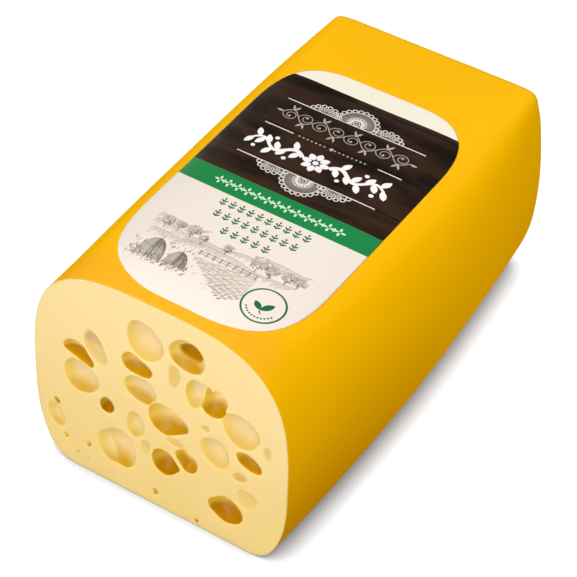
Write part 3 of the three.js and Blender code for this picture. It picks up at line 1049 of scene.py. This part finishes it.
# %% Strokes and inks
class Ink:
    """Strokes of one colour, gathered until they are made into one piece."""

    def __init__(self):
        self.points, self.faces, self.count = [], [], 0

    def draw(self, path, width):
        """Adds strokes. path holds (strokes, points, 2) places in print mm and width one number
        for each. The edges lie half the width to both sides of the path, square to it."""
        along = unit(np.gradient(path, axis=1))
        square = np.stack([-along[..., 1], along[..., 0]], axis=-1)
        reach = square * np.broadcast_to(width, path.shape[:2])[..., None] / 2
        edges = np.stack([path - reach, path + reach], axis=2).reshape(-1, 2)
        number = np.arange(len(edges)).reshape(path.shape[0], path.shape[1], 2) + self.count
        loop = [number[:, :-1, 0], number[:, 1:, 0], number[:, 1:, 1], number[:, :-1, 1]]
        self.points.append(edges)
        self.faces.append(np.stack([corner.ravel() for corner in loop], axis=1))
        self.count += len(edges)

    def piece(self, name, *tone):
        """Lays the strokes on the label, in a colour that is a tenth darker where it is worn."""
        right, up = np.concatenate(self.points).T
        points = on_crown(*print_to_crown(right, up), INK_LIFT)
        faces = [np.concatenate(self.faces)]
        made = make_piece(name, points, faces, smooth=False)
        thicken(made, INK_THICKNESS, 1)
        finish = Finish(name, Specular_IOR_Level=0.2)
        speckle = finish.noise(finish.places()[3], 900, 2)
        fresh = colour(*tone)
        worn = [part * WORN for part in fresh[:3]] + [1]
        finish.set("Base Color", finish.blend(speckle, worn, fresh))
        finish.set("Roughness", 0.42 + 0.1 * speckle)
        finish.dress(made)


INK_GAP, INK_THICKNESS = 0.015, 0.02
INK_LIFT = LABEL_LIFT + LABEL_THICKNESS + INK_GAP
WORN = 0.9
STEPS, DOT_STEPS = 12, 9


# %% Paths that the motifs share
def pairs(*values):
    """Broadcasts numbers or arrays into places (..., 2)."""
    return np.stack(np.broadcast_arrays(*values), axis=-1).astype(float)


def spot(right, up):
    """One place, as the start of one stroke."""
    return pairs(right, up)[None, :]


def straight(start, end, steps=STEPS):
    """Paths from starts to ends (strokes, 2) in even steps."""
    return mix(start[:, None, :], end[:, None, :], np.linspace(0, 1, steps)[None, :, None])


def column(value):
    """A number, or one for each stroke, as a column."""
    return np.atleast_1d(value)[:, None]


def turned(length, angle):
    """The step of a length in a direction."""
    return pairs(length * np.cos(angle), length * np.sin(angle))


def arc(centre, radius, begin=0.0, end=2 * np.pi, steps=STEPS, squash=1.0):
    """Paths round centres (strokes, 2) from one angle to another, with the height squashed."""
    angle = mix(column(begin), column(end), np.linspace(0, 1, steps)[None, :])
    return centre[:, None, :] + turned(column(radius), angle) * [1, squash]


def draw_dots(ink, centre, radius):
    """Round dots: a path from side to side whose width is the circle's chord there."""
    angle = np.linspace(0, np.pi, DOT_STEPS)
    path = centre[:, None, :] + pairs(column(radius) * -np.cos(angle), 0.0)
    ink.draw(path, 2 * column(radius) * np.sin(angle))


def draw_leaves(ink, start, length, angle, width):
    """Leaves from starts in a direction, pointed at both ends: the width follows a half wave,
    raised to a power that makes it fuller."""
    swell = np.sin(np.linspace(0, np.pi, STEPS)) ** 0.75
    ink.draw(straight(start, start + turned(length, angle)), column(width) * swell)


def draw_diamonds(ink, centre, width, height):
    """Filled diamonds: a level path whose width rises evenly to the middle and falls again."""
    path = straight(centre - pairs(width, 0.0), centre + pairs(width, 0.0), 3)
    ink.draw(path, 2 * height * np.array([0.02, 1.0, 0.02]))


def draw_rule(ink, left, right, height, width, rise=0.0, steps=90):
    """A level line, or one that rises to the right."""
    ink.draw(straight(spot(left, height), spot(right, height + rise), steps), width)


print("a stroke has", STEPS, "points")

# %% [markdown]
# ## Lace
#
# Two strips of crocheted lace hang along thin rules, the upper one pointing to the back and the
# lower one to the front. Each is half a doily between two lower scallops. Crochet is loops and
# threads: a border of picot rings, threads that run out from the middle, and a rosette of petals
# round a ring. One loop draws both strips, and a direction of 1 or -1 turns the lower one over.
# The fine threads have an ink of their own, dimmer than the picots', because so thin a line
# prints greyer.

# %% Lace strips
LACE, THREADS = Ink(), Ink()
RULE_HEIGHTS = (123.5, 105.9, 85.5)
RULE_WIDTH, THREAD_WIDTH = 0.5, 0.2


def fan(centre, length, begin, end, count, way, stretch=1.0):
    """Places at a length from a centre, between two shares of the half turn over a rule."""
    return centre + turned(length, np.linspace(begin, end, count) * np.pi) * [stretch, way]


def threads(centre, lengths, *spread):
    """Fine threads that run outwards from one length to another."""
    THREADS.draw(straight(*(fan(centre, length, *spread) for length in lengths), 3), THREAD_WIDTH)


def doily(middle, base, way):
    """Half a doily on a rule: picots on a half circle, hatching threads and a rosette."""
    centre = spot(middle, base + way * 1.6)
    LACE.draw(arc(fan(centre, 7.8, -0.04, 1.04, 13, way), 0.88), 0.42)
    for radius, reach in ((6.9, 1.75), (3.7, 1.92)):
        half_turn = (way * (np.pi / 2 - reach), way * (np.pi / 2 + reach))
        LACE.draw(arc(centre, radius, *half_turn, 40), 0.32)
    threads(centre, (3.9, 6.7), -0.05, 1.05, 48, way)
    petal = np.linspace(-0.1, 1.1, 11) * np.pi
    draw_leaves(LACE, fan(centre, 1.5, -0.1, 1.1, 11, way), 2.1, way * petal, 1.0)
    LACE.draw(arc(centre, 1.15), 0.42)
    draw_dots(LACE, centre, 0.38)


def scallop(middle, base, way):
    """A low fan beside the doily: two rows of picots and threads that run out to them."""
    centre = spot(middle, base - way * 1.2)
    LACE.draw(arc(fan(centre, 5.3, 0.13, 0.87, 7, way, 1.16), 0.88), 0.44)
    LACE.draw(arc(fan(centre, 3.4, 0.3, 0.7, 4, way, 1.3), 0.62), 0.34)
    threads(centre, (1.9, 4.5), 0.2, 0.8, 15, way, 1.16)


for base, way, right, middle, scallops in (
    (RULE_HEIGHTS[0], 1, 29.0, 0.0, (-12.6, 13.2)),
    (RULE_HEIGHTS[2], -1, 27.5, 0.4, (-12.7, 12.4)),
):
    draw_rule(LACE, -29.0, right, base, RULE_WIDTH)
    doily(middle, base, way)
    for place in scallops:
        scallop(place, base, way)
for left, right in ((-29.0, -16.2), (18.8, 28.0)):
    draw_rule(LACE, left, right, RULE_HEIGHTS[1], RULE_WIDTH)
LACE.piece("ink_lace", 232, 224, 217)
THREADS.piece("ink_threads", 170, 158, 149)

# %% [markdown]
# ## Ornament on the dark field
#
# A thin vine runs between the lace strips: a waving stem with a tendril curled into each hollow of
# the wave and a few slim leaves. Under it lie a row of dots and a bold flourish: a flower with
# eight petals, and on each side a waving stem with full leaves and berries. They are plain folk
# ornament, made of leaves, dots and spirals, and symmetrical about the artwork's axis.

# %% Vine and dots
VINE = Ink()
VINE_MIDDLE = 115.6
VINE_SWING, VINE_HOLLOW, VINE_HOLLOWS = 2.7, 6.6, 8
TENDRIL_TURNS, TENDRIL_SHRINK, TENDRIL_DRIFT = 1.45, 0.86, 1.1
DOTS_HEIGHT, DOTS_APART = 105.9, 1.75

half_length = VINE_HOLLOW * VINE_HOLLOWS / 2
run = np.linspace(-half_length, half_length, 220)
wave = VINE_SWING * np.sin((run + half_length) / VINE_HOLLOW * np.pi)
VINE.draw(spot(run, VINE_MIDDLE + wave), 0.36)
middle = -half_length + VINE_HOLLOW * (np.arange(VINE_HOLLOWS) + 0.5)
way = np.where(np.arange(VINE_HOLLOWS) % 2 == 0, 1, -1)
# A tendril is a spiral: its reach shrinks and its centre drifts into the hollow as it turns.
share = np.linspace(0, 1, 34)[None, :]
spiral = turned(
    VINE_HOLLOW / 2 * (1 - TENDRIL_SHRINK * share),
    np.pi + column(way) * 2 * np.pi * TENDRIL_TURNS * share,
)
VINE.draw(spiral + pairs(column(middle), VINE_MIDDLE - column(way) * TENDRIL_DRIFT * share), 0.3)
draw_dots(VINE, pairs(middle, VINE_MIDDLE - way * TENDRIL_DRIFT), 0.42)
for lean in (0.5, -0.5):
    top_of_wave = pairs(middle, VINE_MIDDLE + way * VINE_SWING)
    draw_leaves(VINE, top_of_wave, 3.2, way * (np.pi / 2 + lean), 0.9)
for side in (-1, 1):
    draw_leaves(VINE, spot(side * half_length, VINE_MIDDLE), 3.0, (1 - side) * np.pi / 2, 1.0)
for left, right in ((-13.6, -1.5), (1.35, 15.2)):
    dots = np.arange(left, right, DOTS_APART)
    draw_dots(VINE, pairs(dots, DOTS_HEIGHT), 0.4)
draw_diamonds(VINE, spot(-0.1, DOTS_HEIGHT), 0.9, 1.1)
VINE.piece("ink_vine", 190, 178, 167)

# %% Flourish
FLOURISH = Ink()
FLOURISH_PLACE = (-1.0, 95.6)
# Where the stem starts and ends, how far it swings and how many half waves it has to the mm.
STEM_START, STEM_END = 5.6, 27.0
STEM_SWING, STEM_WAVES = 2.2, 3 / 21.4
# Along the stem: where each leaf and each berry grows, and on which side, 1 above and -1 below.
STEM_LEAVES = (7.4, 9.2, 12.4, 15.2, 17.4, 19.8, 22.4, 25.0, 26.6), (-1, 1, -1, 1, -1, 1, -1, 1, -1)
STEM_BERRIES = (11.0, 18.6, 24.4), (1, -1, 1)
LEAF_LEAN = math.radians(64)
BERRY_DROP = 4.4


def stem_wave(run):
    """How far the stem swings up at a way along it: a sine."""
    return STEM_SWING * np.sin((run - STEM_START) * STEM_WAVES * np.pi)


flower = spot(*FLOURISH_PLACE)
petal = np.arange(8) * np.pi / 4
draw_leaves(FLOURISH, flower + turned(1.6, petal), 4.0, petal, 2.7)
draw_dots(FLOURISH, flower, 1.15)
for side in (1, -1):
    run = np.linspace(STEM_START, STEM_END, 70)
    FLOURISH.draw(flower + pairs(side * run, stem_wave(run))[None, :], np.linspace(1.9, 1.0, 70))
    foot, above = np.array(STEM_LEAVES)
    angle = (1 - side) * np.pi / 2 + side * above * LEAF_LEAN
    draw_leaves(FLOURISH, flower + pairs(side * foot, stem_wave(foot)), 5.2, angle, 2.5)
    berry, above = np.array(STEM_BERRIES)
    draw_dots(FLOURISH, flower + pairs(side * berry, -above * BERRY_DROP), 0.9)
FLOURISH.piece("ink_flourish", 250, 246, 243)

# %% [markdown]
# ## Ornament on the band and the cream field
#
# The green band carries a row of small flowers and diamonds in a pale tint. Below it, three rows
# of green sprigs get shorter towards the front, over a round emblem with a sprig of two leaves.

# %% Band row, sprigs and emblem
BAND_ROW = Ink()
BAND_MIDDLE = 67.1
flowers = np.linspace(-24.6, 23.6, 13)
for angle in np.arange(4) * np.pi / 2:
    draw_leaves(BAND_ROW, pairs(flowers, BAND_MIDDLE) + turned(0.3, angle), 2.0, angle, 0.95)
gaps = (flowers[1:] + flowers[:-1]) / 2
draw_diamonds(BAND_ROW, pairs(gaps, BAND_MIDDLE), 0.42, 1.5)
BAND_ROW.piece("ink_band_row", 214, 238, 214)

SPRIGS = Ink()
SPRIG_HEIGHT = 4.4
# Each row's foot, half its length and its number of sprigs.
SPRIG_ROWS = ((55.2, 16.6, 10), (48.6, 15.2, 9), (41.9, 8.2, 5))
# A sprig is a stem with two pairs of leaves that slant up and a bud on top.
for foot, half_length, count in SPRIG_ROWS:
    foot = pairs(np.linspace(-half_length, half_length, count), foot)
    SPRIGS.draw(straight(foot, foot + [0, SPRIG_HEIGHT * 0.86], 6), 0.34)
    for share in (0.12, 0.48):
        for lean in (38, 142):
            start = foot + [0, SPRIG_HEIGHT * share]
            draw_leaves(SPRIGS, start, SPRIG_HEIGHT * 0.4, math.radians(lean), 0.72)
    draw_dots(SPRIGS, foot + [0, SPRIG_HEIGHT * 0.94], 0.4)

EMBLEM_PLACE = (20.6, 20.0)
EMBLEM_HALF, EMBLEM_SQUASH = 7.0, 1.14
emblem = spot(*EMBLEM_PLACE)
SPRIGS.draw(arc(emblem, EMBLEM_HALF, 0, 2 * np.pi * 1.01, 64, EMBLEM_SQUASH), 0.66)
leaf_foot = emblem + [0.0, -2.4]
for length, lean, width in ((5.4, 55, 2.4), (4.4, 135, 2.2)):
    draw_leaves(SPRIGS, leaf_foot, length, math.radians(lean), width)
SPRIGS.draw(arc(leaf_foot + [1.2, -0.2], 1.2, np.pi, 1.45 * np.pi), 0.4)
dot_angle = np.radians(np.arange(212, 330, 11.5))
draw_dots(SPRIGS, emblem + turned(5.3, dot_angle) * [1, EMBLEM_SQUASH], 0.36)
SPRIGS.piece("ink_sprigs", 31, 108, 68)

# %% [markdown]
# ## The line-drawn meadow
#
# Low on the cream field lies a sketch in grey-brown line: rolling hills with round trees, a rail
# fence, a ploughed field whose furrows run away to the right, and two haystacks in the grass. An
# engraver builds tones from many short strokes, so each part here is a cloud of strokes that
# follow its form. Two inks, pale for what is far and dark for what is near, give it depth.

# %% Meadow strokes
PALE, DARK = Ink(), Ink()
scatter = np.random.default_rng(11)


def hill(base, swing, wave, shift, left, right, width):
    """A hill's outline, two sines high, and slanting hatch strokes that hang from it."""
    run = np.linspace(left, right, 60)
    crest = base + swing * np.sin(run / wave + shift) + 0.3 * swing * np.sin(run / 2.3)
    PALE.draw(spot(run, crest), width)
    hung = np.linspace(left + 1, right - 1, int((right - left) / 0.6))
    length = scatter.uniform(1.0, 3.4, len(hung))
    start = pairs(hung, np.interp(hung, run, crest) - 0.3)
    PALE.draw(straight(start, start - pairs(length * 0.8, length), 4), 0.2)


def tree(right, foot, size):
    """A round tree: leafy ticks scattered over its crown, darker below and to the right."""
    count = int(34 * size)
    angle, spread = scatter.uniform(0, 2 * np.pi, count), np.sqrt(scatter.uniform(0, 1, count))
    place = spot(right, foot + size) + turned(spread * size, angle)
    shade = (place[:, 0] - right) - (place[:, 1] - foot - size) - size * 0.6
    shaded = shade > scatter.normal(0, size / 3, count)
    for ink, part in ((DARK, shaded), (PALE, ~shaded)):
        turn = scatter.uniform(0, np.pi, part.sum())
        ink.draw(arc(place[part], 0.45, turn, turn + 2.2, 5), 0.24)
    trunk = spot(right, foot)
    DARK.draw(straight(trunk, trunk + [0, -1.6], 3), 0.36)


def haystack(right, foot, half_width, height, strands=27):
    """A haystack: strands that run from its top down over a rounded cone, dark on its right."""
    place = np.linspace(-1, 1, strands)
    fall = np.linspace(0, np.pi / 2, 10)
    ragged = column(scatter.uniform(-0.6, 0.4, strands)) * np.linspace(0, 1, 10) ** 3
    strand_right = right + half_width * column(place) * np.sin(fall)
    path = pairs(strand_right, foot + height * np.cos(fall) + ragged)
    width = column(scatter.uniform(0.16, 0.34, strands)) * np.ones(10)
    dark = place > -0.2
    DARK.draw(path[dark], width[dark])
    PALE.draw(path[~dark], width[~dark] * 1.3)
    DARK.draw(arc(spot(right, foot), half_width, 0, np.pi, 24, height / half_width), 0.28)


def grass(ink, count, left, right, foot, top, width):
    """Tufts of short upright ticks, scattered over a part of the field."""
    start = pairs(scatter.uniform(left, right, count), scatter.uniform(foot, top, count))
    lean = scatter.normal(np.radians(75), 0.3, count)
    length = scatter.uniform(0.7, 1.9, count)
    path = straight(start, start + turned(length, lean), 4)
    ink.draw(path, width * np.array([1.0, 0.9, 0.7, 0.3]))


def furrows(count):
    """A ploughed field: rows that start apart on the left and draw together to the right. Each is
    a line in broken strokes, waving a little, with a paler one close above it."""
    share = column(np.linspace(0, 1, count))
    run = np.linspace(0, 1, 40)[None, :]
    start = (mix(-9.5, 6.5, share), mix(26.0, 13.6, share))
    end = (mix(13.5, 13.0, share), mix(29.0, 17.5, share))
    wave = 0.14 * np.sin(run * 19 + share * 40)
    path = pairs(mix(start[0], end[0], run), mix(start[1], end[1], run) + wave)
    gaps = np.clip(1.4 * np.sin(run * 23 + share * 61) + 0.9, 0, 1)
    DARK.draw(path, (0.1 + 0.3 * share) * gaps * (1 - 0.5 * run))
    PALE.draw(path + [0.0, 0.45], 0.34 * (1 - 0.5 * run) + 0 * share)


# %% The meadow's parts in their places
for base, swing, wave, shift, left, right, width in (
    (41.0, 1.9, 8.0, 1.0, -33.0, -11.0, 0.32),
    (41.5, 1.6, 7.0, 2.0, 11.0, 27.5, 0.32),
    (36.5, 1.4, 9.0, 0.0, -33.0, 27.5, 0.36),
    (33.0, 1.0, 6.0, 2.4, -31.0, 25.0, 0.34),
):
    hill(base, swing, wave, shift, left, right, width)
for right, foot, size in (
    (-27.5, 35.0, 2.6), (-22.0, 36.0, 2.0), (-16.5, 35.5, 2.8), (-11.5, 34.5, 1.8),
    (10.5, 33.5, 3.4), (15.5, 33.0, 2.6), (21.0, 34.0, 2.4), (25.0, 34.5, 2.2), (-2.0, 35.0, 1.9),
):
    tree(right, foot, size)
post = pairs(np.arange(-9.0, 13.0, 2.7), 28.4)
DARK.draw(straight(post, post + [0, 3.0], 3), 0.34)
for rail in (29.3, 30.6):
    draw_rule(DARK, -10.0, 12.5, rail, 0.24, rise=0.3, steps=30)
furrows(15)
haystack(-24.0, 17.5, 5.4, 10.5)
haystack(-13.5, 18.4, 4.0, 7.6)
grass(DARK, 120, -33.0, -8.0, 15.5, 20.0, 0.3)
grass(DARK, 50, -33.0, -9.0, 20.0, 29.0, 0.26)
grass(PALE, 150, -34.0, 8.0, 14.5, 31.0, 0.28)
PALE.piece("ink_sketch_pale", 190, 180, 166)
DARK.piece("ink_sketch_dark", 128, 118, 103)

# %% [markdown]
# ## Floor, light and world
#
# A product photo like this one is made on a white sweep under a large soft light. The floor is
# pale and glows, so that it reads as white, and near the loaf its glow dims by how little of the
# sky it sees: that paints the contact shadow into the floor. A broad light stands in front on the
# left and above, so the crown and the cut are equally bright and the right side falls off. A small
# fill light near the camera's side lightens the eyes' walls.

# %% Studio
WORLD_LIGHT = 0.15
# Each light's place, what it looks at, its side in metres and its power in watts.
LIGHTS = {
    "key": ((-0.09, -1.0, 1.86), (0, -0.03, 0.05), 1.6, 44.0),
    "fill": ((0.392, -1.168, 0.853), (0, -0.09, 0.05), 0.6, 9.5),
}
FLOOR_HALF = 3.0
CONTACT_REACH = 0.015

for name, (place, target, size, power) in LIGHTS.items():
    lamp = bpy.data.lights.new(name, "AREA")
    lamp.size, lamp.energy = size, power
    back = Vector(place) - Vector(target)
    set_up(name, lamp, place, back.to_track_quat("Z", "Y").to_matrix().to_4x4())

world = bpy.data.worlds.new("studio")
world.use_nodes = True
sky = world.node_tree.nodes["Background"].inputs
sky["Color"].default_value, sky["Strength"].default_value = (1, 1, 1, 1), WORLD_LIGHT
bpy.context.scene.world = world
bpy.context.scene.view_settings.view_transform = "Standard"

floor_mesh = bpy.data.meshes.new("floor")
corners = [(x * FLOOR_HALF, y * FLOOR_HALF, 0) for x, y in ((-1, -1), (1, -1), (1, 1), (-1, 1))]
floor_mesh.from_pydata(corners, [], [(0, 1, 2, 3)])
floor = bpy.data.objects.new("floor", floor_mesh)
bpy.context.scene.collection.objects.link(floor)
sweep = Finish("pale_floor", Roughness=0.7, Specular_IOR_Level=0.1, Emission_Strength=1.0)
cloud = sweep.noise(sweep.places()[3], 3)
sweep.set("Base Color", sweep.blend(cloud, (0.16, 0.16, 0.16, 1), (0.18, 0.18, 0.18, 1)))
# Painted shadow: the floor's glow dims where the loaf hides its sky within CONTACT_REACH.
openness = sweep.node("ShaderNodeAmbientOcclusion", {"samples": 8}, {"Distance": CONTACT_REACH})
glow = openness["AO"].ramp(0.2, 0.8)
sweep.set("Emission Color", sweep.blend(glow, (0.1, 0.1, 0.11, 1), (1, 1, 1, 1)))
sweep.dress(floor)
floor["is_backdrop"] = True

# %% [markdown]
# ## Sizes
#
# The dressed loaf has to fill the same box as the solid one, so both boxes are gathered and the
# dressed one's size is printed.

# %% Gather the sizes
sizes = {
    "cad": [list(corner) for corner in cad_box],
    "visual": [list(corner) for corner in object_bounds()],
}
print("visual box in mm:", [round((b - a) * 1000, 1) for a, b in zip(*sizes["visual"])])
